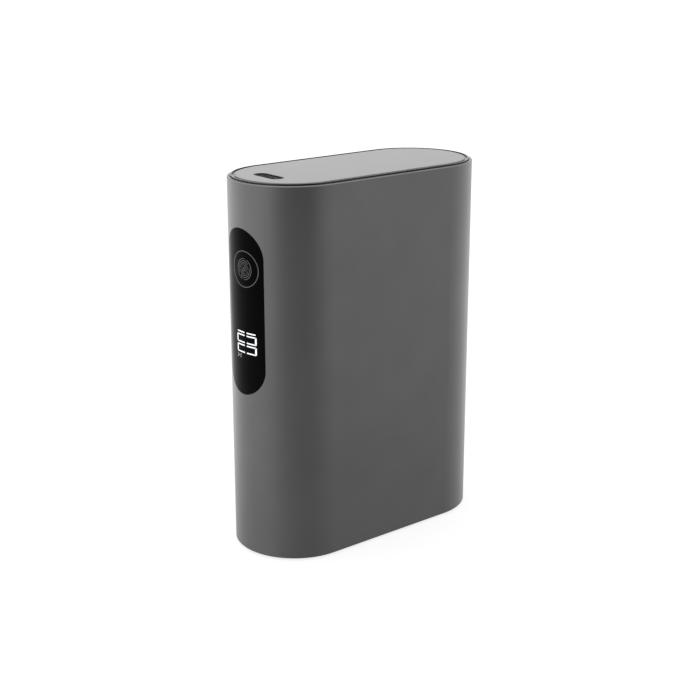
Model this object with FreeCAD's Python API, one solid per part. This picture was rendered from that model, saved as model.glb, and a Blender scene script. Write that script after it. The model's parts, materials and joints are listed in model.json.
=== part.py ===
# Pocket power station: an obround aluminium sleeve around three pouch cells and a control board.
# Frame: +Z up, origin at the centre of the foot's underside, -Y towards the control window,
# X across the narrow way. Millimetres.

import FreeCAD, Part

import math
import os

V = FreeCAD.Vector
X_AXIS, Y_AXIS, Z_AXIS = V(1, 0, 0), V(0, 1, 0), V(0, 0, 1)

# Case: the sleeve is an extruded tube with two straight sides and two half-round ends.
CASE_WIDTH = 33.4
CASE_LENGTH = 74.0
CASE_HEIGHT = 100.0
FOOT_PROUD = 0.5                                  # the foot lifts the sleeve off the table
SLEEVE_BOTTOM = FOOT_PROUD
SLEEVE_TOP = SLEEVE_BOTTOM + CASE_HEIGHT
END_RADIUS = CASE_WIDTH / 2
END_CENTRE_Y = (CASE_LENGTH - CASE_WIDTH) / 2     # distance of each half-round's centre from X
RIM_WALL = 0.75                                   # wall beside the end frames
BODY_WALL = 1.5                                   # wall between the two ledges
RIM_CHAMFER = 0.22

# Ends: a plate glued into a shallow tray, which rests on the sleeve's ledge.
TRAY_INSET = RIM_WALL + 0.15
TRAY_BORDER = 0.95                                # the tray's visible flat edge
TRAY_SETBACK = 0.05                               # how far the border stops below the rim
TRAY_BEAD = 0.3                                   # raised bead along the border's outer edge
BEAD_PROUD = 0.42                                 # how far the bead stands above the rim
BEAD_ROUND = 0.08
TRAY_LIP = 0.2                                    # thin wall that stands round the plate
LIP_SETBACK = 0.12                                # how far the lip stops below the plate's face
COVER_CLEARANCE = 0.05
COVER_INSET = TRAY_INSET + TRAY_BORDER + TRAY_LIP + COVER_CLEARANCE
COVER_THICK = 1.3
COVER_EDGE_ROUND = 0.16
TOP_COVER_PROUD = 0.4
BOTTOM_COVER_RECESS = 0.3
GLUE_THICK = 0.15
TRAY_FLOOR = 2.25
TOP_COVER_TOP = SLEEVE_TOP + TOP_COVER_PROUD
TOP_GLUE_TOP = TOP_COVER_TOP - COVER_THICK
TOP_TRAY_FLOOR = TOP_GLUE_TOP - GLUE_THICK
TOP_LEDGE = TOP_TRAY_FLOOR - TRAY_FLOOR
BOTTOM_COVER_BOTTOM = SLEEVE_BOTTOM + BOTTOM_COVER_RECESS
BOTTOM_GLUE_BOTTOM = BOTTOM_COVER_BOTTOM + COVER_THICK
BOTTOM_TRAY_FLOOR = BOTTOM_GLUE_BOTTOM + GLUE_THICK
BOTTOM_LEDGE = BOTTOM_TRAY_FLOOR + TRAY_FLOOR

# Foot: one silicone ring let into a groove in the bottom cover.
FOOT_INSET = 4.6
FOOT_WIDTH = 4.0
FOOT_GROOVE = 0.4

# Control window in the -Y end, an upright obround seen along Y.
WINDOW_HALF_WIDTH = 7.6
WINDOW_LOW = SLEEVE_BOTTOM + 44.3
WINDOW_HIGH = SLEEVE_BOTTOM + 88.4
WINDOW_CLEARANCE = 0.05
LENS_THICK = 1.1
LENS_GLUE_THICK = 0.15
LENS_GLUE_WIDTH = 1.2

# Touch sensor behind the lens, and the lit ring around it.
GRAPHICS_X = 1.5                                  # the marks sit off the window's centre line
SENSOR_Z = SLEEVE_BOTTOM + 78.0
SENSOR_RADIUS = 4.2
SENSOR_SKIN = 0.4                                 # lens left over the sensor
SENSOR_BACK_Y = -33.2
RING_RADIUS = 4.75
RING_WIDTH = 0.2
RING_DEPTH = 0.3

# Battery gauge: two and a half digits that read downwards, then a small per cent sign.
DIGIT_HEIGHT = 7.5                                # across the window, along X
DIGIT_WIDTH = 2.22                                # along Z
DIGIT_PITCH = 2.68
DIGIT_TOP_Z = SLEEVE_BOTTOM + 60.6                # upper edge of the first zero
ONE_CENTRE_GAP = 0.64                             # the one's bars stand this far above that edge
LONG_BAR = 0.34                                   # thickness of the bars that run along X
SHORT_BAR = 0.7                                   # thickness of the bars that run along Z
MIDDLE_GAP = 0.8
BAR_MITRE = 0.1
PERCENT_HEIGHT = 1.9                              # along X
PERCENT_WIDTH = 1.15                              # along Z
PERCENT_GAP = 0.4                                 # between the last zero and the sign
PERCENT_TOP_Z = DIGIT_TOP_Z - DIGIT_PITCH - DIGIT_WIDTH - PERCENT_GAP
PERCENT_STROKE = 0.36                             # half of it is cut off each end corner
PERCENT_DOT = 0.5
GUIDE_BACK_Y = -33.9
LAMP_SIZE = 0.24

# Boards, along Y from the window inwards.
BOARD_FRONT_Y = -30.5
BOARD_THICK = 1.2
BOARD_BACK_Y = BOARD_FRONT_Y + BOARD_THICK
BOARD_HALF_WIDTH = 9.2
BOARD_LOW, BOARD_HIGH = 10.0, 96.0
BOARD_SCREW_X = 7.0
BOARD_SCREW_ZS = (15.0, 93.6)

# USB-C receptacle at the board's upper edge, seen along Z.
USB_Y = BOARD_BACK_Y + 1.63
USB_SHELL = (8.94, 3.26)
USB_SHELL_WALL = 0.3
USB_MOUTH_Z = TOP_COVER_TOP - 0.4
USB_DEPTH = 8.6
USB_TONGUE = (6.69, 0.7)
USB_TONGUE_SETBACK = 0.5
USB_CONTACT_PITCH = 0.5
USB_CONTACTS_PER_SIDE = 12
PORT_SLOT = (10.4, 3.9)
COLLAR_OUTSIDE = (10.3, 3.8)
COLLAR_INSIDE = (9.1, 3.36)
COLLAR_FLANGE = (12.0, 5.3)
COLLAR_TOP_Z = TOP_COVER_TOP - 0.15

# Chassis: two shells that meet on the plane X = 0, open towards the board.
CHASSIS_INSET = BODY_WALL + 0.25
CHASSIS_WALL = 1.1
CHASSIS_LOW = BOTTOM_LEDGE + 0.2
CHASSIS_HIGH = TOP_LEDGE - 0.2
CHASSIS_FRONT_Y = -28.7
CHASSIS_END_THICK = 1.2
CEILING_FRONT_Y = -18.0
END_SCREW_SPOTS = ((10.8, -26.2), (9.5, 27.5))    # mirrored to the other side
END_BOSS_RADIUS = 2.2
END_BOSS_LENGTH = 10.0
JOINT_SCREW_Y = 30.3
JOINT_SCREW_ZS = (18.0, 83.0)

# Screws: 2 mm thread-forming.
SCREW_RADIUS = 1.0
SCREW_HOLE_RADIUS = 1.03
SCREW_HEAD_RADIUS = 1.8
SCREW_HEAD_HEIGHT = 1.2
SCREW_LENGTH = 7.0

# Pouch cells, side by side across X.
CELL_THICK = 8.6
CELL_WIDTH = 47.4
CELL_LOW, CELL_HIGH = 7.0, 82.5
CELL_PITCH = 9.0
CELL_EDGE_ROUND = 1.6
TERRACE_HEIGHT = 4.0
TERRACE_THICK = 1.2
TAB_WIDTH, TAB_THICK = 5.0, 0.2
TAB_Y = 12.0
GUARD_BOARD_LOW = 88.6
GUARD_BOARD_THICK = 1.0
GUARD_BOARD_HALF = (11.5, 14.9)
GUARD_SHELF = (10.5, 13.0)                        # inner edge along X, half length along Y
LEAD_DIAMETER = 1.4
LEAD_X = 3.2
LEAD_LANDING_Z = 84.6


# ---------------------------------------------------------------- shape helpers


def obround_wire(width, length, z):
    """Two straight sides along Y and two half-round ends, in the plane at z."""
    radius, centre = width / 2, (length - width) / 2
    corner_a, corner_b = V(radius, -centre, z), V(radius, centre, z)
    corner_c, corner_d = V(-radius, centre, z), V(-radius, -centre, z)
    far_tip, near_tip = V(0, centre + radius, z), V(0, -centre - radius, z)
    edges = [
        Part.LineSegment(corner_a, corner_b).toShape(),
        Part.Arc(corner_b, far_tip, corner_c).toShape(),
        Part.LineSegment(corner_c, corner_d).toShape(),
        Part.Arc(corner_d, near_tip, corner_a).toShape(),
    ]
    return Part.Wire(edges)


def case_wire(inset, z):
    """The case's outline moved inwards by inset."""
    return obround_wire(CASE_WIDTH - 2 * inset, CASE_LENGTH - 2 * inset, z)


def case_prism(inset, low, high):
    """A solid of the case's outline moved inwards by inset."""
    return Part.Face(case_wire(inset, low)).extrude(V(0, 0, high - low))


def case_ring(outer_inset, inner_inset, low, high):
    return case_prism(outer_inset, low, high).cut(case_prism(inner_inset, low, high))


def slot_prism(size, centre_y, low, high):
    """A prism along Z of a slot whose long way is X, with half-round ends."""
    length, width = size
    wire = obround_wire(width, length, low)
    solid = Part.Face(wire).extrude(V(0, 0, high - low))
    solid.rotate(V(0, 0, 0), Z_AXIS, 90)
    solid.translate(V(0, centre_y, 0))
    return solid


def box(x_range, y_range, z_range):
    """A box from three (low, high) pairs."""
    spans = (x_range, y_range, z_range)
    sizes = [high - low for low, high in spans]
    return Part.makeBox(*sizes, V(*(low for low, _ in spans)))


def cylinder_z(radius, x, y, low, high):
    return Part.makeCylinder(radius, high - low, V(x, y, low), Z_AXIS)


def cylinder_y(radius, x, z, near, far):
    return Part.makeCylinder(radius, far - near, V(x, near, z), Y_AXIS)


def end_shell(outer_radius, inner_radius):
    """A full-height tube about the axis of the -Y half-round end."""
    outer = cylinder_z(outer_radius, 0, -END_CENTRE_Y, 0, SLEEVE_TOP)
    inner = cylinder_z(inner_radius, 0, -END_CENTRE_Y, 0, SLEEVE_TOP)
    return outer.cut(inner)


def window_prism(half_width, low, high, near=-45.0, far=-25.0):
    """A prism along Y of an upright obround."""
    centre_low, centre_high = low + half_width, high - half_width
    middle = box((-half_width, half_width), (near, far), (centre_low, centre_high))
    ends = [cylinder_y(half_width, 0, z, near, far) for z in (centre_low, centre_high)]
    return middle.fuse(ends).removeSplitter()


def plate_prism(points, near, far):
    """A prism along Y of a polygon given as (x, z) points."""
    corners = [V(x, near, z) for x, z in points]
    return Part.Face(Part.makePolygon(corners + corners[:1])).extrude(V(0, far - near, 0))


def mirrored(shape):
    """The shape and its mirror image across the plane X = 0."""
    return [shape, shape.mirror(V(0, 0, 0), X_AXIS)]


def end_screw_spots():
    return [(side * x, y) for x, y in END_SCREW_SPOTS for side in (-1, 1)]


def outer_edges_at(shape, z, inset):
    """The edges of the case outline moved inwards by inset, in the plane at z."""
    half_width, half_length = CASE_WIDTH / 2 - inset, CASE_LENGTH / 2 - inset
    found = []
    for edge in shape.Edges:
        bounds = edge.BoundBox
        flat = abs(bounds.ZMin - z) < 1e-6 and abs(bounds.ZMax - z) < 1e-6
        on_side = abs(max(abs(bounds.XMin), abs(bounds.XMax)) - half_width) < 1e-3
        on_end = abs(max(abs(bounds.YMin), abs(bounds.YMax)) - half_length) < 1e-3
        if flat and (on_side or on_end):
            found.append(edge)
    return found


def screw(length=SCREW_LENGTH, countersunk=True):
    """A screw along -Z with the top of its head at the origin and a cross recess."""
    if countersunk:
        head = Part.makeCone(SCREW_RADIUS, SCREW_HEAD_RADIUS, SCREW_HEAD_HEIGHT,
                             V(0, 0, -SCREW_HEAD_HEIGHT))
    else:
        head = Part.makeCylinder(SCREW_HEAD_RADIUS, SCREW_HEAD_HEIGHT,
                                 V(0, 0, -SCREW_HEAD_HEIGHT))
    shank = Part.makeCylinder(SCREW_RADIUS, length - SCREW_HEAD_HEIGHT, V(0, 0, -length))
    tip = Part.makeCone(SCREW_RADIUS * 0.35, SCREW_RADIUS, 1.0, V(0, 0, -length - 1.0))
    solid = head.fuse([shank, tip])
    recess_depth, recess_arm, recess_width = 0.6, 1.0, 0.35
    for angle in (0, 90):
        slot = box((-recess_arm, recess_arm), (-recess_width / 2, recess_width / 2),
                   (-recess_depth, 0.1))
        slot.rotate(V(0, 0, 0), Z_AXIS, angle)
        solid = solid.cut(slot)
    return solid.removeSplitter()


def screw_hole(length=SCREW_LENGTH + 1.5):
    """What a countersunk screw needs cut for it: a clear hole and a cone seat."""
    clearance = SCREW_HOLE_RADIUS - SCREW_RADIUS
    seat = Part.makeCone(SCREW_RADIUS + clearance, SCREW_HEAD_RADIUS + clearance,
                         SCREW_HEAD_HEIGHT, V(0, 0, -SCREW_HEAD_HEIGHT))
    mouth = Part.makeCylinder(SCREW_HEAD_RADIUS + clearance, 1.0)
    hole = Part.makeCylinder(SCREW_HOLE_RADIUS, length, V(0, 0, -length))
    return hole.fuse([seat, mouth])


def placed(shape, position, towards=Z_AXIS):
    """A copy whose +Z points towards a direction, moved to a position."""
    copy = shape.copy()
    copy.Placement = FreeCAD.Placement(V(*position), FreeCAD.Rotation(Z_AXIS, towards))
    return copy


# ---------------------------------------------------------------- case and covers


def case_sleeve():
    sleeve = case_prism(0, SLEEVE_BOTTOM, SLEEVE_TOP)
    rims = (outer_edges_at(sleeve, SLEEVE_BOTTOM, 0) + outer_edges_at(sleeve, SLEEVE_TOP, 0))
    sleeve = sleeve.makeChamfer(RIM_CHAMFER, rims)
    sleeve = sleeve.cut(case_prism(BODY_WALL, SLEEVE_BOTTOM, SLEEVE_TOP))
    sleeve = sleeve.cut(case_prism(RIM_WALL, TOP_LEDGE, SLEEVE_TOP))
    sleeve = sleeve.cut(case_prism(RIM_WALL, SLEEVE_BOTTOM, BOTTOM_LEDGE))
    return sleeve.cut(window_prism(WINDOW_HALF_WIDTH, WINDOW_LOW, WINDOW_HIGH))


def cover_plate(face_z, back_z):
    """A plate with a softened edge round the face at face_z."""
    plate = case_prism(COVER_INSET, min(face_z, back_z), max(face_z, back_z))
    return plate.makeFillet(COVER_EDGE_ROUND, outer_edges_at(plate, face_z, COVER_INSET))


def top_cover():
    plate = cover_plate(TOP_COVER_TOP, TOP_GLUE_TOP)
    return plate.cut(slot_prism(PORT_SLOT, USB_Y, TOP_GLUE_TOP - 1, TOP_COVER_TOP + 1))


def bottom_cover():
    plate = cover_plate(BOTTOM_COVER_BOTTOM, BOTTOM_GLUE_BOTTOM)
    groove = case_ring(FOOT_INSET, FOOT_INSET + FOOT_WIDTH,
                       BOTTOM_COVER_BOTTOM, BOTTOM_COVER_BOTTOM + FOOT_GROOVE)
    return plate.cut(groove)


def foot_ring():
    clearance = 0.05
    ring = case_ring(FOOT_INSET + clearance, FOOT_INSET + FOOT_WIDTH - clearance,
                     0, BOTTOM_COVER_BOTTOM + FOOT_GROOVE)
    lower = [e for e in ring.Edges if e.BoundBox.ZMax < 1e-6]
    return ring.makeFillet(0.3, lower)


def cover_glue(low):
    """A flat ring of tape between a cover and its frame."""
    return case_ring(COVER_INSET + 0.3, COVER_INSET + 3.3, low, low + GLUE_THICK)


def top_glue():
    port_clear = slot_prism((12.4, 6.0), USB_Y, TOP_TRAY_FLOOR - 1, TOP_GLUE_TOP + 1)
    return cover_glue(TOP_TRAY_FLOOR).cut(port_clear)


def bottom_glue():
    return cover_glue(BOTTOM_GLUE_BOTTOM)


def tray(ledge_z, floor_z, border_z, lip_z):
    """A tray on the sleeve's ledge: a flat border, a lip round the plate, a pocket in its floor."""
    body = case_prism(TRAY_INSET, *sorted((ledge_z, border_z)))
    body = body.makeChamfer(0.1, outer_edges_at(body, border_z, TRAY_INSET))
    body = body.fuse(case_prism(TRAY_INSET + TRAY_BORDER, *sorted((ledge_z, lip_z))))
    well = case_prism(COVER_INSET - COVER_CLEARANCE, *sorted((floor_z, lip_z)))
    pocket_z = floor_z - math.copysign(0.8, border_z - ledge_z)
    pocket = case_prism(TRAY_INSET + 6.0, *sorted((floor_z, pocket_z)))
    pocket = pocket.common(box((-20, 20), (-19, 24), (0, 200)))
    return body.cut([well, pocket]).removeSplitter()


def border_bead():
    """The bead that stands round the top tray's border and outlines the cover."""
    high = SLEEVE_TOP + BEAD_PROUD
    inner_inset = TRAY_INSET + TRAY_BEAD
    bead = case_ring(TRAY_INSET, inner_inset, SLEEVE_TOP - 1.0, high)
    upper = outer_edges_at(bead, high, TRAY_INSET) + outer_edges_at(bead, high, inner_inset)
    return bead.makeFillet(BEAD_ROUND, upper)


def top_frame():
    """The tray that the top cover is glued into. It lies on the sleeve's upper ledge."""
    seat = slot_prism((COLLAR_FLANGE[0] + 0.1, COLLAR_FLANGE[1] + 0.1), USB_Y,
                      TOP_TRAY_FLOOR - 0.8, TOP_TRAY_FLOOR + 1)
    way = slot_prism((COLLAR_OUTSIDE[0] + 0.1, COLLAR_OUTSIDE[1] + 0.1), USB_Y,
                     TOP_LEDGE - 1, TOP_TRAY_FLOOR + 1)
    holes = [placed(screw_hole(), (x, y, TOP_TRAY_FLOOR)) for x, y in end_screw_spots()]
    frame = tray(TOP_LEDGE, TOP_TRAY_FLOOR, SLEEVE_TOP - TRAY_SETBACK, TOP_COVER_TOP - LIP_SETBACK)
    frame = frame.fuse(border_bead()).removeSplitter()
    return frame.cut([seat, way] + holes)


def bottom_frame():
    """The tray that the bottom cover is glued into, under the sleeve's lower ledge."""
    holes = [placed(screw_hole(), (x, y, BOTTOM_TRAY_FLOOR), -Z_AXIS)
             for x, y in end_screw_spots()]
    border_z = SLEEVE_BOTTOM + TRAY_SETBACK
    return tray(BOTTOM_LEDGE, BOTTOM_TRAY_FLOOR, border_z, border_z).cut(holes)


def top_screws():
    return [placed(screw(), (x, y, TOP_TRAY_FLOOR)) for x, y in end_screw_spots()]


def bottom_screws():
    return [placed(screw(), (x, y, BOTTOM_TRAY_FLOOR), -Z_AXIS)
            for x, y in end_screw_spots()]


# ---------------------------------------------------------------- control window


def zero_bars(top_z):
    """The (x, z) outlines of a zero's lit bars. The digit's top points to +X."""
    half = DIGIT_HEIGHT / 2
    low_z = top_z - DIGIT_WIDTH
    m = BAR_MITRE
    inner = half - SHORT_BAR
    bars = []
    rows = ((top_z, top_z - LONG_BAR, -1), (low_z, low_z + LONG_BAR, 1))
    for side in (-1, 1):
        for outer_z, inner_z, turn in rows:
            bars.append([
                (side * MIDDLE_GAP / 2, outer_z),
                (side * (half - m), outer_z),
                (side * (inner + m), inner_z),
                (side * MIDDLE_GAP / 2, inner_z),
            ])
        bars.append([
            (side * half, top_z - m),
            (side * half, low_z + m),
            (side * (inner + 2 * m), low_z + LONG_BAR + m),
            (side * (inner + 2 * m), top_z - LONG_BAR - m),
        ])
    return bars


def one_bars(centre_z):
    """The two bars of the leading one."""
    half = DIGIT_HEIGHT / 2 - 0.25
    low, high = centre_z - LONG_BAR / 2, centre_z + LONG_BAR / 2
    return [[(side * MIDDLE_GAP / 2, high), (side * (half - BAR_MITRE), high),
             (side * half, centre_z), (side * (half - BAR_MITRE), low),
             (side * MIDDLE_GAP / 2, low)] for side in (-1, 1)]


def gauge_prisms():
    """A prism along Y for every lit bar, long enough to pass through the lens."""
    outlines = one_bars(DIGIT_TOP_Z + ONE_CENTRE_GAP)
    for place in range(2):
        outlines += zero_bars(DIGIT_TOP_Z - place * DIGIT_PITCH)
    return [plate_prism([(x + GRAPHICS_X, z) for x, z in outline], -45, GUIDE_BACK_Y)
            for outline in outlines]


def percent_prisms():
    """The per cent sign: two dots and a stroke, turned like the digits."""
    centre_x = GRAPHICS_X - DIGIT_HEIGHT / 2 + PERCENT_HEIGHT / 2
    centre_z = PERCENT_TOP_Z - PERCENT_WIDTH / 2
    half_x, half_z = PERCENT_HEIGHT / 2, PERCENT_WIDTH / 2
    radius = PERCENT_DOT / 2
    prisms = [cylinder_y(radius, centre_x + side * (half_x - radius),
                         centre_z + side * (half_z - radius), -45, GUIDE_BACK_Y)
              for side in (-1, 1)]
    thin = PERCENT_STROKE / 2
    stroke = [(centre_x - half_x, centre_z + half_z - thin),
              (centre_x - half_x + thin, centre_z + half_z),
              (centre_x + half_x, centre_z - half_z + thin),
              (centre_x + half_x - thin, centre_z - half_z)]
    prisms.append(plate_prism(stroke, -45, GUIDE_BACK_Y))
    return prisms


def behind_skin(prisms):
    """Cuts prisms off at the lens's outer surface."""
    inside = cylinder_z(END_RADIUS, 0, -END_CENTRE_Y, 0, SLEEVE_TOP)
    return [prism.common(inside) for prism in prisms]


def ring_tube(outer_radius, inner_radius):
    outer = cylinder_y(outer_radius, GRAPHICS_X, SENSOR_Z, -45, -25)
    return outer.cut(cylinder_y(inner_radius, GRAPHICS_X, SENSOR_Z, -45, -25))


def display_lens():
    """The dark curved window, flush with the sleeve."""
    skin = end_shell(END_RADIUS, END_RADIUS - LENS_THICK)
    lens = skin.common(window_prism(WINDOW_HALF_WIDTH - WINDOW_CLEARANCE,
                                    WINDOW_LOW + WINDOW_CLEARANCE,
                                    WINDOW_HIGH - WINDOW_CLEARANCE))
    pocket = cylinder_y(SENSOR_RADIUS + 0.1, GRAPHICS_X, SENSOR_Z, -45, -25)
    pocket = pocket.common(cylinder_z(END_RADIUS - SENSOR_SKIN, 0, -END_CENTRE_Y,
                                      0, SLEEVE_TOP))
    return lens.cut([pocket, sensor_ring()] + gauge_prisms() + percent_prisms())


def sensor_ring():
    """The thin lit ring let into the lens around the sensor."""
    tube = ring_tube(RING_RADIUS, RING_RADIUS - RING_WIDTH)
    return tube.common(end_shell(END_RADIUS, END_RADIUS - RING_DEPTH))


def gauge_light_guides():
    return behind_skin(gauge_prisms())


def percent_light_guides():
    return behind_skin(percent_prisms())


def lens_glue():
    """Tape between the lens and the carrier, all round the window."""
    radius = END_RADIUS - LENS_THICK
    c = WINDOW_CLEARANCE + 0.1
    outer = window_prism(WINDOW_HALF_WIDTH - c, WINDOW_LOW + c, WINDOW_HIGH - c)
    c += LENS_GLUE_WIDTH
    inner = window_prism(WINDOW_HALF_WIDTH - c, WINDOW_LOW + c, WINDOW_HIGH - c)
    return end_shell(radius, radius - LENS_GLUE_THICK).common(outer.cut(inner))


def lens_carrier():
    """The black bracket behind the window. It is wider than the window, so it can't pull out."""
    back_radius = 13.9
    flange_radius = END_RADIUS - BODY_WALL - 0.05
    pad_radius = END_RADIUS - LENS_THICK - LENS_GLUE_THICK
    flange = end_shell(flange_radius, back_radius)
    flange = flange.common(box((-10.6, 10.6), (-45, -25), (WINDOW_LOW - 4, WINDOW_HIGH + 2.4)))
    c = WINDOW_CLEARANCE + 0.1
    pad = end_shell(pad_radius, back_radius)
    pad = pad.common(window_prism(WINDOW_HALF_WIDTH - c, WINDOW_LOW + c, WINDOW_HIGH - c))
    sensor_way = cylinder_y(SENSOR_RADIUS + 0.3, GRAPHICS_X, SENSOR_Z, -45, -25)
    gauge_way = gauge_block(0.1, -45, -25)
    return flange.fuse(pad).removeSplitter().cut([sensor_way, gauge_way])


def touch_sensor():
    """The round sensor, domed to the lens in front and flat behind."""
    disc = cylinder_y(SENSOR_RADIUS, GRAPHICS_X, SENSOR_Z, -45, SENSOR_BACK_Y)
    return disc.common(cylinder_z(END_RADIUS - SENSOR_SKIN - 0.05, 0, -END_CENTRE_Y,
                                  0, SLEEVE_TOP))


def sensor_flex():
    """A flat flexible lead from the sensor's back down to its socket on the board."""
    thick, half_width = 0.2, 3.0
    socket_y = BOARD_FRONT_Y - 0.9
    top_z, bend_z, low_z = SENSOR_Z + 2.5, SENSOR_Z - 5.0, SENSOR_Z - 9.0
    line = [(SENSOR_BACK_Y, top_z), (SENSOR_BACK_Y, bend_z), (socket_y - thick, low_z),
            (socket_y - thick, low_z - 3.0), (socket_y, low_z - 3.0), (socket_y, low_z + 0.1),
            (SENSOR_BACK_Y + thick, bend_z + 0.1), (SENSOR_BACK_Y + thick, top_z)]
    corners = [V(GRAPHICS_X - half_width, y, z) for y, z in line]
    face = Part.Face(Part.makePolygon(corners + corners[:1]))
    return face.extrude(V(2 * half_width, 0, 0))


def flex_socket():
    """The low socket on the board that the flexible lead plugs into."""
    z = SENSOR_Z - 10.5
    front, top = BOARD_FRONT_Y - 0.9, BOARD_FRONT_Y - 1.5
    x_low, x_high = GRAPHICS_X - 4.0, GRAPHICS_X + 4.0
    body = box((x_low, x_high), (front, BOARD_FRONT_Y), (z - 2.0, z + 1.4))
    latch = box((x_low, x_high), (top, front - 0.2), (z - 2.0, z - 1.2))
    arms = [box((x, x + 0.6), (top, front), (z - 2.0, z - 1.2)) for x in (x_low, x_high - 0.6)]
    return body.fuse([latch] + arms).removeSplitter()


def gauge_block(margin, near, far):
    """The outline of the lamp block, grown by margin, as a prism along Y."""
    half = DIGIT_HEIGHT / 2 + 0.9 + margin
    low = PERCENT_TOP_Z - PERCENT_WIDTH - 0.5 - margin
    high = DIGIT_TOP_Z + ONE_CENTRE_GAP + 0.9 + margin
    return box((GRAPHICS_X - half, GRAPHICS_X + half), (near, far), (low, high))


def gauge_module():
    """The white block with one lamp chamber behind each light guide."""
    chambers = []
    for prism in gauge_prisms() + percent_prisms():
        chamber = prism.copy()
        chamber.translate(V(0, BOARD_FRONT_Y - GUIDE_BACK_Y, 0))
        chambers.append(chamber)
    return gauge_block(0, GUIDE_BACK_Y, BOARD_FRONT_Y).cut(chambers)


def gauge_lamps():
    """One lamp on the board in the middle of each chamber."""
    half = LAMP_SIZE / 2
    lamps = []
    for prism in gauge_prisms() + percent_prisms():
        x, z = prism.BoundBox.Center.x, prism.BoundBox.Center.z
        lamps.append(box((x - half * 0.7, x + half * 0.7),
                         (BOARD_FRONT_Y - LAMP_SIZE, BOARD_FRONT_Y),
                         (z - half * 0.7, z + half * 0.7)))
    return lamps


# ---------------------------------------------------------------- board


def main_board():
    board = box((-BOARD_HALF_WIDTH, BOARD_HALF_WIDTH), (BOARD_FRONT_Y, BOARD_BACK_Y),
                (BOARD_LOW, BOARD_HIGH))
    uprights = [e for e in board.Edges
                if e.BoundBox.XLength < 1e-6 and e.BoundBox.ZLength < 1e-6]
    board = board.makeFillet(1.2, uprights)
    holes = [cylinder_y(1.15, side * BOARD_SCREW_X, z, BOARD_FRONT_Y - 1, BOARD_BACK_Y + 1)
             for side in (-1, 1) for z in BOARD_SCREW_ZS]
    return board.cut(holes)


def board_screws():
    length = 6.0
    spots = [(side * BOARD_SCREW_X, BOARD_FRONT_Y - SCREW_HEAD_HEIGHT, z)
             for side in (-1, 1) for z in BOARD_SCREW_ZS]
    return [placed(screw(length, False), spot, -Y_AXIS) for spot in spots]


def chip(width, height, thick, x, z, pin_rows=0):
    """A package on the board's back, with pins along its two upright sides."""
    body = box((x - width / 2, x + width / 2), (BOARD_BACK_Y, BOARD_BACK_Y + thick),
               (z - height / 2, z + height / 2))
    dot = cylinder_y(0.3, x - width / 2 + 0.8, z + height / 2 - 0.8,
                     BOARD_BACK_Y + thick - 0.1, BOARD_BACK_Y + thick + 1)
    body = body.cut(dot)
    pins = []
    for row in range(pin_rows):
        pin_z = z - height / 2 + (row + 0.5) * height / pin_rows
        for side in (-1, 1):
            start = x + side * width / 2
            reach = sorted((start, start + side * 0.7))
            pins.append(box(reach, (BOARD_BACK_Y, BOARD_BACK_Y + 0.25),
                            (pin_z - 0.13, pin_z + 0.13)))
    return body.fuse(pins) if pins else body


def controller_chips():
    return [chip(5.0, 5.0, 0.9, 0, 58.0), chip(7.0, 7.0, 1.4, 0, 42.0, 8),
            chip(4.0, 5.0, 1.2, 5.4, 29.0, 4), chip(4.0, 4.0, 0.9, -4.6, 29.0)]


def power_transistors():
    return [chip(3.6, 5.0, 0.9, x, 66.0) for x in (-7.2, -2.6, 2.6, 7.2)]


def power_inductors():
    """Two moulded coils with copper feet."""
    coils = []
    size, height = 7.0, 3.9
    for x in (-4.2, 4.2):
        body = box((x - size / 2, x + size / 2), (BOARD_BACK_Y + 0.1, BOARD_BACK_Y + height),
                   (76.0 - size / 2, 76.0 + size / 2))
        corners = [e for e in body.Edges
                   if e.BoundBox.XLength < 1e-6 and e.BoundBox.ZLength < 1e-6]
        body = body.makeFillet(1.4, corners)
        feet = [box((x - 1.5, x + 1.5), (BOARD_BACK_Y, BOARD_BACK_Y + 0.1),
                    (76.0 + low, 76.0 + low + 1.6)) for low in (-size / 2 + 0.2, size / 2 - 1.8)]
        coils.append(body.fuse(feet))
    return coils


def board_capacitors():
    """Four polymer cans and two rows of small ceramic blocks."""
    cans = []
    for x in (-6.6, 6.6):
        for z in (53.4, 48.1):
            base = box((x - 2.5, x + 2.5), (BOARD_BACK_Y, BOARD_BACK_Y + 0.6), (z - 2.5, z + 2.5))
            can = cylinder_y(2.4, x, z, BOARD_BACK_Y + 0.6, BOARD_BACK_Y + 4.2)
            rim = [e for e in can.Edges if e.BoundBox.YMin > BOARD_BACK_Y + 4.0]
            cans.append(base.fuse(can.makeFillet(0.4, rim)))
    blocks = []
    for column in range(6):
        x = -7.5 + column * 3.0
        for z in (35.0, 22.5):
            blocks.append(box((x - 0.8, x + 0.8), (BOARD_BACK_Y, BOARD_BACK_Y + 0.8),
                              (z - 0.4, z + 0.4)))
    return cans + blocks


# ---------------------------------------------------------------- USB-C port


def usb_shell():
    """The drawn steel shell, closed at its inner end."""
    low = USB_MOUTH_Z - USB_DEPTH
    outside = slot_prism(USB_SHELL, USB_Y, low, USB_MOUTH_Z)
    bore = (USB_SHELL[0] - 2 * USB_SHELL_WALL, USB_SHELL[1] - 2 * USB_SHELL_WALL)
    return outside.cut(slot_prism(bore, USB_Y, low + 1.0, USB_MOUTH_Z + 1))


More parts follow.
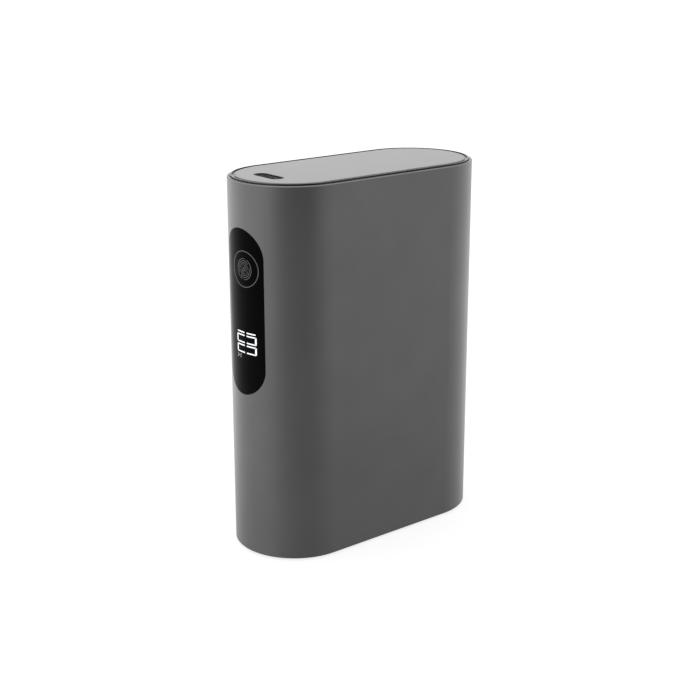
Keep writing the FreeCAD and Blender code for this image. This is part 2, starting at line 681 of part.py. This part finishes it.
def usb_tongue():
    """The tongue that carries the contacts, on a root block in the shell's bottom."""
    low = USB_MOUTH_Z - USB_DEPTH + 1.0
    bore = (USB_SHELL[0] - 2 * USB_SHELL_WALL, USB_SHELL[1] - 2 * USB_SHELL_WALL)
    root = slot_prism(bore, USB_Y, low, low + 1.4)
    half_width, half_thick = USB_TONGUE[0] / 2, USB_TONGUE[1] / 2
    blade = box((-half_width, half_width), (USB_Y - half_thick, USB_Y + half_thick),
                (low + 1.4, USB_MOUTH_Z - USB_TONGUE_SETBACK))
    tip = [e for e in blade.Edges
           if e.BoundBox.ZMin > USB_MOUTH_Z - USB_TONGUE_SETBACK - 1e-6
           and e.BoundBox.YLength < 1e-6]
    return root.fuse(blade.makeChamfer(0.15, tip))


def usb_contacts():
    """Twelve contacts on each face of the tongue."""
    contacts = []
    high = USB_MOUTH_Z - USB_TONGUE_SETBACK - 0.4
    half_thick = USB_TONGUE[1] / 2
    for index in range(USB_CONTACTS_PER_SIDE):
        x = (index - (USB_CONTACTS_PER_SIDE - 1) / 2) * USB_CONTACT_PITCH
        for side in (-1, 1):
            near, far = sorted((USB_Y + side * half_thick, USB_Y + side * (half_thick + 0.05)))
            contacts.append(box((x - 0.13, x + 0.13), (near, far), (high - 3.5, high)))
    return contacts


def usb_collar():
    """The black liner of the cover's slot, held by its flange under the cover."""
    liner = slot_prism(COLLAR_OUTSIDE, USB_Y, TOP_LEDGE + 0.2, COLLAR_TOP_Z)
    mouth = [e for e in liner.Edges if e.BoundBox.ZMin > COLLAR_TOP_Z - 1e-6]
    flange = slot_prism(COLLAR_FLANGE, USB_Y, TOP_TRAY_FLOOR - 0.75, TOP_TRAY_FLOOR)
    collar = liner.makeChamfer(0.1, mouth).fuse(flange).removeSplitter()
    return collar.cut(slot_prism(COLLAR_INSIDE, USB_Y, TOP_LEDGE - 1, COLLAR_TOP_Z + 1))


# ---------------------------------------------------------------- chassis and battery


def chassis_whole():
    """Both chassis shells before they are split on the plane X = 0."""
    inner_inset = CHASSIS_INSET + CHASSIS_WALL
    cavity = case_prism(inner_inset, CHASSIS_LOW + CHASSIS_END_THICK,
                        CHASSIS_HIGH - CHASSIS_END_THICK)
    body = case_prism(CHASSIS_INSET, CHASSIS_LOW, CHASSIS_HIGH).cut(cavity)
    body = body.cut(box((-20, 20), (CHASSIS_FRONT_Y, CEILING_FRONT_Y),
                        (CHASSIS_HIGH - CHASSIS_END_THICK - 1, CHASSIS_HIGH + 1))
                    .common(case_prism(inner_inset, 0, 200)))
    envelope = case_prism(CHASSIS_INSET + 0.3, CHASSIS_LOW, CHASSIS_HIGH)
    additions = []
    for x, y in end_screw_spots():
        for low in (CHASSIS_LOW, CHASSIS_HIGH - END_BOSS_LENGTH):
            additions.append(cylinder_z(END_BOSS_RADIUS, x, y, low, low + END_BOSS_LENGTH))
    for z in BOARD_SCREW_ZS:
        for side in (-1, 1):
            reach = sorted((side * (BOARD_SCREW_X - 1.8), side * 16))
            additions.append(box(reach, (CHASSIS_FRONT_Y, -24.6), (z - 1.9, z + 1.9)))
    for z in JOINT_SCREW_ZS:
        additions.append(box((-6, 6), (JOINT_SCREW_Y - 2.4, 40), (z - 2.6, z + 2.6)))
    for side in (-1, 1):
        reach = sorted((side * GUARD_SHELF[0], side * 16))
        additions.append(box(reach, (-GUARD_SHELF[1], GUARD_SHELF[1]),
                             (GUARD_BOARD_LOW - 1.0, GUARD_BOARD_LOW)))
    additions = [piece.common(envelope) for piece in additions]
    body = body.fuse(additions)
    body = body.cut(box((-20, 20), (-40, CHASSIS_FRONT_Y), (0, 200)))
    posts = []
    for z in BOARD_SCREW_ZS:
        for side in (-1, 1):
            posts.append(cylinder_y(1.9, side * BOARD_SCREW_X, z, BOARD_BACK_Y, -25.0))
    body = body.fuse(posts)
    holes = []
    for x, y in end_screw_spots():
        holes.append(placed(screw_hole(), (x, y, TOP_TRAY_FLOOR)))
        holes.append(placed(screw_hole(), (x, y, BOTTOM_TRAY_FLOOR), -Z_AXIS))
    for z in BOARD_SCREW_ZS:
        for side in (-1, 1):
            holes.append(cylinder_y(SCREW_HOLE_RADIUS, side * BOARD_SCREW_X, z,
                                    BOARD_BACK_Y - 1, -24.0))
    for z in JOINT_SCREW_ZS:
        holes.append(placed(screw_hole(10.5), (5.0, JOINT_SCREW_Y, z), X_AXIS))
        driver_way = Part.makeCylinder(2.0, 12, V(5.5, JOINT_SCREW_Y, z), X_AXIS)
        holes.append(driver_way)
    return body.cut(holes)


def chassis_half(side):
    """One shell, side -1 or +1, with a hair of clearance on the split plane."""
    span = sorted((side * 0.02, side * 30))
    return chassis_whole().common(box(span, (-45, 45), (0, 120)))


def chassis_left():
    return chassis_half(-1)


def chassis_right():
    return chassis_half(1)


def chassis_screws():
    return [placed(screw(8.0), (5.0, JOINT_SCREW_Y, z), X_AXIS) for z in JOINT_SCREW_ZS]


def pouch_cell(x):
    """A soft-pack cell with a sealed terrace along its upper edge."""
    half_width = CELL_WIDTH / 2
    body = box((x - CELL_THICK / 2, x + CELL_THICK / 2), (-half_width, half_width),
               (CELL_LOW, CELL_HIGH))
    body = body.makeFillet(CELL_EDGE_ROUND, body.Edges)
    terrace = box((x - TERRACE_THICK / 2, x + TERRACE_THICK / 2),
                  (-half_width + 1.5, half_width - 1.5),
                  (CELL_HIGH - 1.0, CELL_HIGH + TERRACE_HEIGHT))
    return body.fuse(terrace)


def cell_tabs():
    """Two nickel tabs on each cell, from the terrace up to the guard board."""
    low = CELL_HIGH + TERRACE_HEIGHT
    tabs = []
    for x in (-CELL_PITCH, 0, CELL_PITCH):
        for y in (-TAB_Y, TAB_Y):
            tabs.append(box((x - TAB_THICK / 2, x + TAB_THICK / 2),
                            (y - TAB_WIDTH / 2, y + TAB_WIDTH / 2), (low, GUARD_BOARD_LOW)))
    return tabs


def cell_tapes():
    """Double-sided tape between neighbouring cells."""
    gap = (CELL_PITCH - CELL_THICK) / 2
    return [box((x - gap, x + gap), (-18, 18), (14, 76)) for x in (-4.5, 4.5)]


def side_foam():
    """A thin foam sheet between each outer cell and its chassis shell."""
    inner = CELL_PITCH + CELL_THICK / 2
    outer = CASE_WIDTH / 2 - CHASSIS_INSET - CHASSIS_WALL
    sheet = box((inner, outer), (-17, 17), (14, 76))
    return mirrored(sheet)


def floor_foam():
    """The pad that the cells stand on."""
    low = CHASSIS_LOW + CHASSIS_END_THICK
    return box((-12, 12), (-20, 20), (low, CELL_LOW))


def end_foam():
    """The block that keeps the cells from sliding towards the far end."""
    inset = CHASSIS_INSET + CHASSIS_WALL + 0.15
    block = case_prism(inset, 24.0, 77.0)
    return block.common(box((-20, 20), (CELL_WIDTH / 2 + 0.1, 34.5), (24.0, 77.0)))


def guard_board():
    """The protection circuit that the cells' tabs are soldered to."""
    half_x, half_y = GUARD_BOARD_HALF
    top = GUARD_BOARD_LOW + GUARD_BOARD_THICK
    return box((-half_x, half_x), (-half_y, half_y), (GUARD_BOARD_LOW, top))


def guard_chips():
    top = GUARD_BOARD_LOW + GUARD_BOARD_THICK
    spots = [(-6.0, 2.0), (0.0, 2.0), (6.0, 2.0), (-3.0, 10.0), (3.0, 10.0)]
    return [box((x - 2.0, x + 2.0), (y - 2.5, y + 2.5), (top, top + 1.1)) for x, y in spots]


def rounded_route(points):
    """A wire through the points whose corners are arcs, each as wide as its runs allow."""
    edges, start = [], points[0]
    for before, corner, after in zip(points, points[1:], points[2:]):
        back, on = before - corner, after - corner
        run = 0.45 * min(back.Length, on.Length)
        back.normalize()
        on.normalize()
        half_turn = (math.pi - back.getAngle(on)) / 2
        radius = run / math.tan(half_turn)
        enter, leave = corner + back * run, corner + on * run
        inward = (back + on).normalize()
        middle = corner + inward * (radius / math.cos(half_turn) - radius)
        edges.append(Part.LineSegment(start, enter).toShape())
        edges.append(Part.Arc(enter, middle, leave).toShape())
        start = leave
    edges.append(Part.LineSegment(start, points[-1]).toShape())
    return Part.Wire(edges)


def lead(x):
    """One battery lead: along the guard board, over its edge and down to the main board."""
    radius = LEAD_DIAMETER / 2
    high = GUARD_BOARD_LOW + GUARD_BOARD_THICK + radius
    points = [V(x, -6.0, high), V(x, -18.6, high), V(x, -24.3, LEAD_LANDING_Z),
              V(x, BOARD_BACK_Y, LEAD_LANDING_Z)]
    section = Part.Wire(Part.makeCircle(radius, points[0], points[1] - points[0]))
    return rounded_route(points).makePipeShell([section], True, False)


# ---------------------------------------------------------------- writing the nodes

NODES = {
    "case_sleeve": case_sleeve,
    "top_cover": top_cover,
    "bottom_cover": bottom_cover,
    "foot_ring": foot_ring,
    "top_glue": top_glue,
    "bottom_glue": bottom_glue,
    "top_frame": top_frame,
    "bottom_frame": bottom_frame,
    "top_screws": top_screws,
    "bottom_screws": bottom_screws,
    "display_lens": display_lens,
    "sensor_ring": sensor_ring,
    "gauge_light_guides": gauge_light_guides,
    "percent_light_guides": percent_light_guides,
    "lens_glue": lens_glue,
    "lens_carrier": lens_carrier,
    "touch_sensor": touch_sensor,
    "sensor_flex": sensor_flex,
    "flex_socket": flex_socket,
    "gauge_module": gauge_module,
    "gauge_lamps": gauge_lamps,
    "main_board": main_board,
    "board_screws": board_screws,
    "controller_chips": controller_chips,
    "power_transistors": power_transistors,
    "power_inductors": power_inductors,
    "board_capacitors": board_capacitors,
    "usb_shell": usb_shell,
    "usb_tongue": usb_tongue,
    "usb_contacts": usb_contacts,
    "usb_collar": usb_collar,
    "chassis_left": chassis_left,
    "chassis_right": chassis_right,
    "chassis_screws": chassis_screws,
    "battery_cell_left": lambda: pouch_cell(-CELL_PITCH),
    "battery_cell_middle": lambda: pouch_cell(0),
    "battery_cell_right": lambda: pouch_cell(CELL_PITCH),
    "cell_tabs": cell_tabs,
    "cell_tapes": cell_tapes,
    "side_foam": side_foam,
    "floor_foam": floor_foam,
    "end_foam": end_foam,
    "guard_board": guard_board,
    "guard_chips": guard_chips,
    "positive_lead": lambda: lead(LEAD_X),
    "negative_lead": lambda: lead(-LEAD_X),
}


def main():
    os.makedirs("parts", exist_ok=True)
    for name, make in NODES.items():
        made = make()
        pieces = made if isinstance(made, list) else [made]
        solids = [solid for piece in pieces for solid in piece.Solids]
        shape = solids[0] if len(solids) == 1 else Part.makeCompound(solids)
        bad = [solid for solid in solids if not solid.isValid() or solid.Volume <= 0]
        shape.exportStep(os.path.join("parts", name + ".step"))
        note = "  NOT VALID" if bad else ""
        print(f"{name:22s} {len(solids):3d} solid(s) {shape.Volume:10.2f} mm3{note}")


main()
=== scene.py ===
import json
import math

import bmesh
import bpy
from mathutils import Matrix, Vector

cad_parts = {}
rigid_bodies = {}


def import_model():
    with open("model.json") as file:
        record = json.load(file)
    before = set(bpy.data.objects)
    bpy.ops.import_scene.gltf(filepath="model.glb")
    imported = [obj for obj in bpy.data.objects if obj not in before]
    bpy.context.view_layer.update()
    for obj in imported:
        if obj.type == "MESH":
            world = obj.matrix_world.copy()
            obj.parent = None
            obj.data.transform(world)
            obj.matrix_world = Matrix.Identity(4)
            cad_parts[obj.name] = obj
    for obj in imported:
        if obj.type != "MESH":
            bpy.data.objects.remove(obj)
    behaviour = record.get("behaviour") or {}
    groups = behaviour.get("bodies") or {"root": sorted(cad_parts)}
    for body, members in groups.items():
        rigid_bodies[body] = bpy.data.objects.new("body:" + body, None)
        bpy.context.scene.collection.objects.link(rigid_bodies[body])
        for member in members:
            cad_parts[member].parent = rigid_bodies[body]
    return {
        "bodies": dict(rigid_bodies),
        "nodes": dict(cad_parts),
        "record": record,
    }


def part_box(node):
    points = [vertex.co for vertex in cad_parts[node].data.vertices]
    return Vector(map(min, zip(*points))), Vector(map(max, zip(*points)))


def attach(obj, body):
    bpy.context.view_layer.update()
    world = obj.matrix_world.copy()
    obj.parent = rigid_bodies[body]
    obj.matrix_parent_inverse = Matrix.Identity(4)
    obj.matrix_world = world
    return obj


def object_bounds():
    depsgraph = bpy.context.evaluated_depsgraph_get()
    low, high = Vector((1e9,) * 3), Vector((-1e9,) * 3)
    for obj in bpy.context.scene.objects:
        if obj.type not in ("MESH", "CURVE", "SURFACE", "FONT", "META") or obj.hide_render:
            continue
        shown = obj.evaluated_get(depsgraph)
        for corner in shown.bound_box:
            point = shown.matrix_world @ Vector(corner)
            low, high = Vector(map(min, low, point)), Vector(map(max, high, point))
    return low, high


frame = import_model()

CAD_LOW, CAD_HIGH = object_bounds()
NODES = frame["nodes"]
BODY = next(iter(frame["bodies"]))
MM = 0.001


def grey(value):
    return (value, value, value)


# ---------------------------------------------------------------- node helpers


class Nodes:
    """Short calls for the shader nodes of a material or a world."""

    def __init__(self, tree):
        self.tree = tree

    def node(self, kind, **settings):
        made = self.tree.nodes.new(kind)
        for key, value in settings.items():
            setattr(made, key, value)
        return made

    def set(self, socket, value):
        """Gives an input a number, a vector or another node's output."""
        if isinstance(value, bpy.types.NodeSocket):
            self.tree.links.new(value, socket)
        else:
            socket.default_value = value

    def math(self, operation, first, second):
        node = self.node("ShaderNodeMath", operation=operation)
        self.set(node.inputs[0], first)
        self.set(node.inputs[1], second)
        return node.outputs["Value"]

    def dot(self, vector, direction):
        node = self.node("ShaderNodeVectorMath", operation="DOT_PRODUCT")
        self.set(node.inputs[0], vector)
        self.set(node.inputs[1], direction)
        return node.outputs["Value"]

    def span(self, value, start, end, low, high, kind="LINEAR"):
        """Maps start..end to low..high and holds the ends."""
        node = self.node("ShaderNodeMapRange", interpolation_type=kind)
        for name, given in (("Value", value), ("From Min", start), ("From Max", end),
                            ("To Min", low), ("To Max", high)):
            self.set(node.inputs[name], given)
        return node.outputs["Result"]

    def ease(self, value, start, end, low=0.0, high=1.0):
        return self.span(value, start, end, low, high, "SMOOTHSTEP")

    def noise(self, scale, detail=3.0, roughness=0.6, stretch=(1, 1, 1)):
        """Noise on object coordinates in metres, stretched by a factor for each axis."""
        mapping = self.node("ShaderNodeMapping")
        mapping.inputs["Scale"].default_value = stretch
        self.set(mapping.inputs["Vector"], self.node("ShaderNodeTexCoord").outputs["Object"])
        noise = self.node("ShaderNodeTexNoise")
        noise.inputs["Scale"].default_value = scale
        noise.inputs["Detail"].default_value = detail
        noise.inputs["Roughness"].default_value = roughness
        self.set(noise.inputs["Vector"], mapping.outputs["Vector"])
        return noise.outputs["Fac"]

    def ramp(self, factor, low, high, start=0.3, end=0.7):
        """A colour ramp between two colours (r, g, b)."""
        ramp = self.node("ShaderNodeValToRGB")
        first, last = ramp.color_ramp.elements
        first.position, last.position = start, end
        first.color, last.color = (*low, 1), (*high, 1)
        self.set(ramp.inputs["Fac"], factor)
        return ramp.outputs["Color"]


class Shader(Nodes):
    """A material with a Principled shader. Values go to its sockets, with _ for a space."""

    def __init__(self, name="finish", **values):
        self.material = bpy.data.materials.new(name)
        self.material.use_nodes = True
        super().__init__(self.material.node_tree)
        self.principled = self.tree.nodes["Principled BSDF"]
        for socket, value in values.items():
            self.feed(socket.replace("_", " "), value)

    def feed(self, socket, value):
        self.set(self.principled.inputs[socket], value)

    def bump(self, height, strength, distance):
        bump = self.node("ShaderNodeBump")
        bump.inputs["Strength"].default_value = strength
        bump.inputs["Distance"].default_value = distance
        self.set(bump.inputs["Height"], height)
        self.feed("Normal", bump.outputs["Normal"])


# ---------------------------------------------------------------- finishes


def shade(low, high, scale, roughness, grain, bump, stretch=(1, 1, 1), **values):
    """A finish whose colour wanders between low and high, over a finer grain.

    scale and grain are the two patterns' repeats per metre, roughness is the pair that the
    grain runs between, and bump is its strength and depth in metres.
    """
    shader = Shader(**values)
    shader.feed("Base Color", shader.ramp(shader.noise(scale, detail=4.0), low, high))
    fine = shader.noise(grain, detail=2.0, roughness=0.5, stretch=stretch)
    shader.feed("Roughness", shader.span(fine, 0.2, 0.8, *roughness))
    shader.bump(fine, *bump)
    return shader.material


def anodised(low, high, roughness):
    """Bead-blasted, anodised aluminium: a fine even grain under slight cloudiness."""
    return shade(grey(low), grey(high), scale=60, roughness=roughness, grain=9000,
                 bump=(0.12, 0.02 * MM), Metallic=1.0)


def window_black():
    """Black-backed gloss with a faint smear of fingers in its roughness."""
    return shade(grey(0.0003), grey(0.0008), scale=120, roughness=(0.05, 0.12), grain=400,
                 bump=(0.02, 0.01 * MM), Specular_IOR_Level=0.02)


def lit(colour, strength=1.0, dimmest=0.93):
    """A glowing finish: dark by itself, glowing a little unevenly along its length. The light
    guides take it, and so do the printed sensor ring and touch mark, where the glow is painted:
    print with no lamp behind it.
    """
    shader = Shader(Roughness=0.3, Specular_IOR_Level=0.1)
    uneven = shader.noise(900, detail=2.0)
    shader.feed("Base Color", shader.ramp(uneven, grey(0.01), grey(0.02)))
    dim = tuple(channel * dimmest for channel in colour)
    shader.feed("Emission Color", shader.ramp(uneven, dim, colour))
    shader.feed("Emission Strength", strength)
    return shader.material


def drawn_metal(low, high, roughness=(0.22, 0.38)):
    """Metal with fine lines along Z."""
    return shade(grey(low), grey(high), scale=300, roughness=roughness, grain=5000,
                 bump=(0.1, 0.02 * MM), stretch=(1, 1, 0.03), Metallic=1.0)


def moulded(low, high, roughness=(0.42, 0.58), **values):
    """Plastic with the fine texture of its mould."""
    return shade(grey(low), grey(high), scale=150, roughness=roughness, grain=4500,
                 bump=(0.2, 0.03 * MM), **values)


def tinted(low, high, roughness=(0.42, 0.58), **values):
    """A coloured finish, smoother than the moulded one. low and high are (r, g, b)."""
    return shade(low, high, scale=600, roughness=roughness, grain=3000,
                 bump=(0.08, 0.02 * MM), **values)


def soft_foam(low, high):
    """Open-looking foam: deep, coarse pores and no gloss."""
    return shade(grey(low), grey(high), scale=2500, roughness=(0.85, 0.95), grain=3000,
                 bump=(0.5, 0.2 * MM))


def crinkled_foil(low, high):
    """Aluminium pouch laminate with shallow dents."""
    return shade(grey(low), grey(high), scale=250, roughness=(0.3, 0.45), grain=600,
                 bump=(0.25, 0.1 * MM), Metallic=1.0)


# Named after the record's material slots.
FINISHES = {
    "anodised_sleeve": anodised(0.13, 0.142, (0.34, 0.42)),
    "anodised_cover": anodised(0.13, 0.142, (0.28, 0.36)),
    "moulded_cover": moulded(0.028, 0.036),
    "black_plastic": moulded(0.008, 0.012, Specular_IOR_Level=0.15),
    "tray_black": moulded(0.005, 0.008, (0.12, 0.2)),
    "window_black": window_black(),
    "lit_white": lit((0.92, 0.97, 1.0), 1.3),
    # painted glow: the printed sensor ring shines a fixed grey through emission, with no lamp
    # behind it
    "ring_grey": lit(grey(0.11)),
    "percent_grey": lit(grey(0.32)),
    "silicone_dark": moulded(0.02, 0.028, (0.65, 0.8)),
    "tape_black": moulded(0.01, 0.015, (0.7, 0.85)),
    "foam_grey": soft_foam(0.05, 0.09),
    "steel_screw": drawn_metal(0.28, 0.36),
    "steel_shell": drawn_metal(0.5, 0.58),
    "contact_gold": tinted((0.75, 0.52, 0.2), (0.85, 0.62, 0.28), (0.2, 0.3), Metallic=1.0),
    "tab_nickel": drawn_metal(0.55, 0.62),
    "board_green": tinted((0.006, 0.05, 0.022), (0.012, 0.085, 0.035), (0.25, 0.4),
                          Coat_Weight=0.4, Coat_Roughness=0.15),
    "chip_black": moulded(0.012, 0.018),
    "ferrite_grey": moulded(0.045, 0.065),
    "capacitor_metal": drawn_metal(0.55, 0.62),
    "module_white": moulded(0.6, 0.68),
    "sensor_dark": moulded(0.02, 0.03, (0.25, 0.35)),
    "flex_amber": tinted((0.28, 0.1, 0.02), (0.38, 0.15, 0.03), (0.2, 0.35)),
    "chassis_grey": moulded(0.035, 0.048),
    "cell_foil": crinkled_foil(0.55, 0.65),
    "lead_red": tinted((0.35, 0.008, 0.008), (0.45, 0.012, 0.012)),
    "lead_black": moulded(0.01, 0.015),
}
for finish_name, material in FINISHES.items():
    material.name = finish_name


def paint(obj, finish):
    obj.data.materials.clear()
    obj.data.materials.append(FINISHES[finish])


for subpart in frame["record"]["subparts"]:
    paint(NODES[subpart["node"]], subpart["material_slot"])


# ---------------------------------------------------------------- touch mark

MARK_WIDTH = 5.2 * MM
MARK_HEIGHT = 5.6 * MM
RIDGE_COUNT = 5
RIDGE_WIDTH = 0.16 * MM
RIDGE_PROUD = 0.02 * MM
RIDGE_TAPER = 0.25                  # power of a half sine: smaller is blunter
FIRST_RIDGE = 0.45                  # the innermost arch's half width, in steps between arches
CORE_STRETCH = 0.12                 # extra height of the innermost arch, as a share of the mark's
STEPS_PER_TURN = 48

# Each oval is cut into two arches. All of these are in turns.
ARCH_CUTS = (-0.22, 0.3, 0.78)
ARCH_GAP = 0.035
ODD_EXTRA_GAP = 0.02
TURN_PER_RIDGE = 0.11


def on_lens(x, z, lift):
    """A point at (x, z) on the lens, lifted off its curved face."""
    radius = CAD_HIGH.x
    centre_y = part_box("display_lens")[0].y + radius
    turn = math.asin(x / radius)
    reach = radius + lift
    return Vector((reach * math.sin(turn), centre_y - reach * math.cos(turn), z))


def ridge(mesh, path):
    """A thin raised strip along (x, z) points on the lens, tapered at both ends."""
    rows = []
    for index, here in enumerate(path):
        before, after = path[max(index - 1, 0)], path[min(index + 1, len(path) - 1)]
        run = (after - before).normalized()
        taper = math.sin(math.pi * (index + 0.5) / len(path)) ** RIDGE_TAPER
        side = Vector((-run.y, run.x)) * RIDGE_WIDTH / 2 * taper
        edges = (here + side, here - side)
        rows.append([mesh.verts.new(on_lens(*edge, lift))
                     for lift in (-RIDGE_PROUD, RIDGE_PROUD) for edge in edges])
    for low, high in zip(rows, rows[1:]):
        for a, b in ((0, 1), (1, 3), (3, 2), (2, 0)):
            mesh.faces.new((low[a], low[b], high[b], high[a]))
    for end in (rows[0], rows[-1]):
        mesh.faces.new([end[corner] for corner in (0, 1, 3, 2)])


def arch(centre, half_x, half_z, start, end):
    """Points of an upright oval from one angle to another, in turns from its right-hand side."""
    steps = max(4, round(STEPS_PER_TURN * (end - start)))
    angles = [2 * math.pi * (start + (end - start) * step / steps) for step in range(steps + 1)]
    return [centre + Vector((half_x * math.cos(a), half_z * math.sin(a))) for a in angles]


def touch_mark():
    """A plain fingertip sign in the middle of the sensor ring: nested arches with gaps between."""
    low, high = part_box("sensor_ring")
    centre = Vector(((low.x + high.x) / 2, (low.z + high.z) / 2))
    mesh = bmesh.new()
    for number in range(RIDGE_COUNT):
        share = (number + FIRST_RIDGE) / (RIDGE_COUNT - 1 + FIRST_RIDGE)
        half_x = (MARK_WIDTH - RIDGE_WIDTH) / 2 * share
        half_z = (MARK_HEIGHT - RIDGE_WIDTH) / 2 * (CORE_STRETCH + (1 - CORE_STRETCH) * share)
        gap = ARCH_GAP + ODD_EXTRA_GAP * (number % 2)
        turn = TURN_PER_RIDGE * number
        for start, end in zip(ARCH_CUTS, ARCH_CUTS[1:]):
            ridge(mesh, arch(centre, half_x, half_z, turn + start, turn + end - gap))
    bmesh.ops.recalc_face_normals(mesh, faces=mesh.faces)
    data = bpy.data.meshes.new("touch_mark")
    mesh.to_mesh(data)
    mesh.free()
    obj = bpy.data.objects.new("touch_mark", data)
    bpy.context.scene.collection.objects.link(obj)
    # painted glow: the mark shines the ring's fixed grey through emission instead of taking the
    # light
    paint(obj, "ring_grey")
    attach(obj, BODY)


touch_mark()


# ---------------------------------------------------------------- stage

CAMERA_PLACE = Vector((0.27658, -0.22673, 0.1614))
CAMERA_TARGET = Vector((-0.00058, -0.00071, 0.04946))
CAMERA_LENS = 69.85
CAMERA_CLIP = (0.01, 50)
FLOOR_HALF = 6.0
FLOOR_GREYS = (0.2, 0.22)
FLOOR_GLOW = 0.78

# The studio is a sphere of light, seen only in reflections and as soft shading. Each band eases
# from START to END, where its GLOW multiplies the light. Heights are sines of the angle above the
# horizon. Facings are cosines of the angle to the dark stretch, which lies a little to the right
# of the camera. Sides run from -1 on the right to 1 on the left.

# Dark stretch, by facing. It fades out below and above, by height.
DARK_TURN = math.radians(10)
DARK_START, DARK_END, DARK_GLOW = 0.58, 0.94, 0.02
DARK_LOW_START, DARK_LOW_END = -0.35, -0.125
DARK_HIGH_START, DARK_HIGH_END = 0.14, 0.36

# Behind the object, by facing.
BACKDROP_START, BACKDROP_END, BACKDROP_GLOW = -0.1, -0.9, 1.32

# On the right, by facing and by side: it brightens the far end's edge.
WING_START, WING_END, WING_GLOW = 0.3, 0.02, 1.4
WING_SIDE_START, WING_SIDE_END = -0.3, -0.8

# From the right to the left, by side.
LEFT_GLOW, RIGHT_GLOW = 1.34, 0.81

# Just below the horizon, far below it and overhead, by height.
LOW_START, LOW_END, LOW_GLOW = -0.19, -0.32, 1.29
DEEP_START, DEEP_END, DEEP_GLOW = -0.315, -0.45, 0.3
TOP_START, TOP_END, TOP_GLOW = 0.35, 0.95, 1.7


def floor():
    half = FLOOR_HALF
    data = bpy.data.meshes.new("floor")
    data.from_pydata([(-half, -half, 0), (half, -half, 0), (half, half, 0), (-half, half, 0)],
                     [], [(0, 1, 2, 3)])
    obj = bpy.data.objects.new("floor", data)
    bpy.context.scene.collection.objects.link(obj)
    shader = Shader("floor_pale", Specular_IOR_Level=0.0, Roughness=0.9)
    shader.feed("Base Color", shader.ramp(shader.noise(2, detail=2.0), *map(grey, FLOOR_GREYS)))
    shader.feed("Emission Color", (1, 1, 1, 1))
    shader.feed("Emission Strength", FLOOR_GLOW)
    obj.data.materials.append(shader.material)
    obj.visible_glossy = False
    obj.visible_shadow = False


def camera():
    data = bpy.data.cameras.new("camera")
    data.lens = CAMERA_LENS
    data.clip_start, data.clip_end = CAMERA_CLIP
    obj = bpy.data.objects.new("camera", data)
    bpy.context.scene.collection.objects.link(obj)
    obj.location = CAMERA_PLACE
    obj.rotation_mode = "QUATERNION"
    obj.rotation_quaternion = (CAMERA_TARGET - CAMERA_PLACE).to_track_quat("-Z", "Y")
    bpy.context.scene.camera = obj


def level_direction(turn):
    """A level unit vector, turned about Z from the camera's own direction. Positive turns right."""
    towards = Vector((CAMERA_PLACE.x, CAMERA_PLACE.y, 0)).normalized()
    towards.rotate(Matrix.Rotation(turn, 3, "Z"))
    return towards


def studio():
    """A white room: bright behind the object and overhead, with a dark stretch on the near side."""
    world = bpy.data.worlds.new("studio")
    world.use_nodes = True
    nodes = Nodes(world.node_tree)
    direction = nodes.node("ShaderNodeTexCoord").outputs["Generated"]
    facing = nodes.dot(direction, level_direction(DARK_TURN))
    height = nodes.dot(direction, Vector((0, 0, 1)))
    left = nodes.dot(direction, level_direction(-math.pi / 2))

    dark = nodes.ease(facing, DARK_START, DARK_END)
    for edge in (nodes.ease(height, DARK_LOW_START, DARK_LOW_END),
                 nodes.ease(height, DARK_HIGH_START, DARK_HIGH_END, 1.0, 0.0)):
        dark = nodes.math("MULTIPLY", dark, edge)
    wing = nodes.math("MULTIPLY", nodes.ease(facing, WING_START, WING_END),
                      nodes.ease(left, WING_SIDE_START, WING_SIDE_END))
    layers = [
        nodes.span(wing, 0.0, 1.0, 1.0, WING_GLOW),
        nodes.ease(facing, BACKDROP_START, BACKDROP_END, 1.0, BACKDROP_GLOW),
        nodes.span(left, -1.0, 1.0, RIGHT_GLOW, LEFT_GLOW),
        nodes.ease(height, LOW_START, LOW_END, 1.0, LOW_GLOW),
        nodes.ease(height, DEEP_START, DEEP_END, 1.0, DEEP_GLOW),
        nodes.ease(height, TOP_START, TOP_END, 1.0, TOP_GLOW),
    ]
    glow = nodes.span(dark, 0.0, 1.0, 1.0, DARK_GLOW)
    for layer in layers:
        glow = nodes.math("MULTIPLY", glow, layer)
    seen = nodes.node("ShaderNodeLightPath").outputs["Is Camera Ray"]
    background = world.node_tree.nodes["Background"]
    nodes.set(background.inputs["Color"], (1, 1, 1, 1))
    nodes.set(background.inputs["Strength"], nodes.span(seen, 0.0, 1.0, glow, 1.0))
    bpy.context.scene.world = world


floor()
camera()
studio()
bpy.context.scene.view_settings.view_transform = "Standard"
